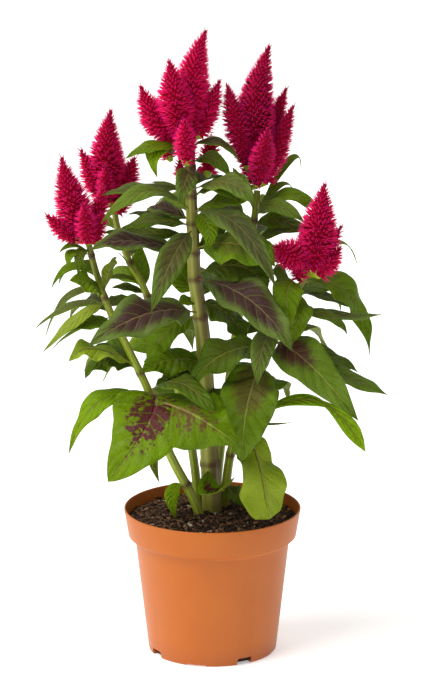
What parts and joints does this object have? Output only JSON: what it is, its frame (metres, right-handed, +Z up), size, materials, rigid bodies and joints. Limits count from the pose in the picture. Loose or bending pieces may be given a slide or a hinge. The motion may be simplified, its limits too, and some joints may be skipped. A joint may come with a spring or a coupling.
{
  "type": "potted plume celosia",
  "caption": "Bushy flowering pot plant with upright feathery crimson spikes over pointed purple-marked leaves, in a round terracotta-coloured plastic nursery pot of soil.",
  "frame": {"origin": "centre of the pot's flat underside", "axes": "+Z up along the pot's axis, -Y towards the front of the plant, +X to the right seen from the front"},
  "size_m": [0.235, 0.1671, 0.427],
  "materials": {
    "pot": "satin moulded polypropylene, terracotta orange",
    "soil": "damp peat and bark, loose and crumbly",
    "leafy_stem": "living leaf and stem, satin, green with purple marks",
    "bloom": "dry papery florets, crimson pink"
  },
  "bodies": {
    "root": {"pot": "pot", "soil": "soil", "main_stem": "leafy_stem", "left_stem": "leafy_stem", "backLeft_stem": "leafy_stem", "right_stem": "leafy_stem", "backRight_stem": "leafy_stem", "main_head": "bloom", "left_head": "bloom", "backLeft_head": "bloom", "right_head": "bloom", "backRight_head": "bloom", "front_bloom": "bloom", "lowLeft_bloom": "bloom", "lowRight_bloom": "bloom", "lowest_bloom": "bloom"}
  },
  "joints": []
}
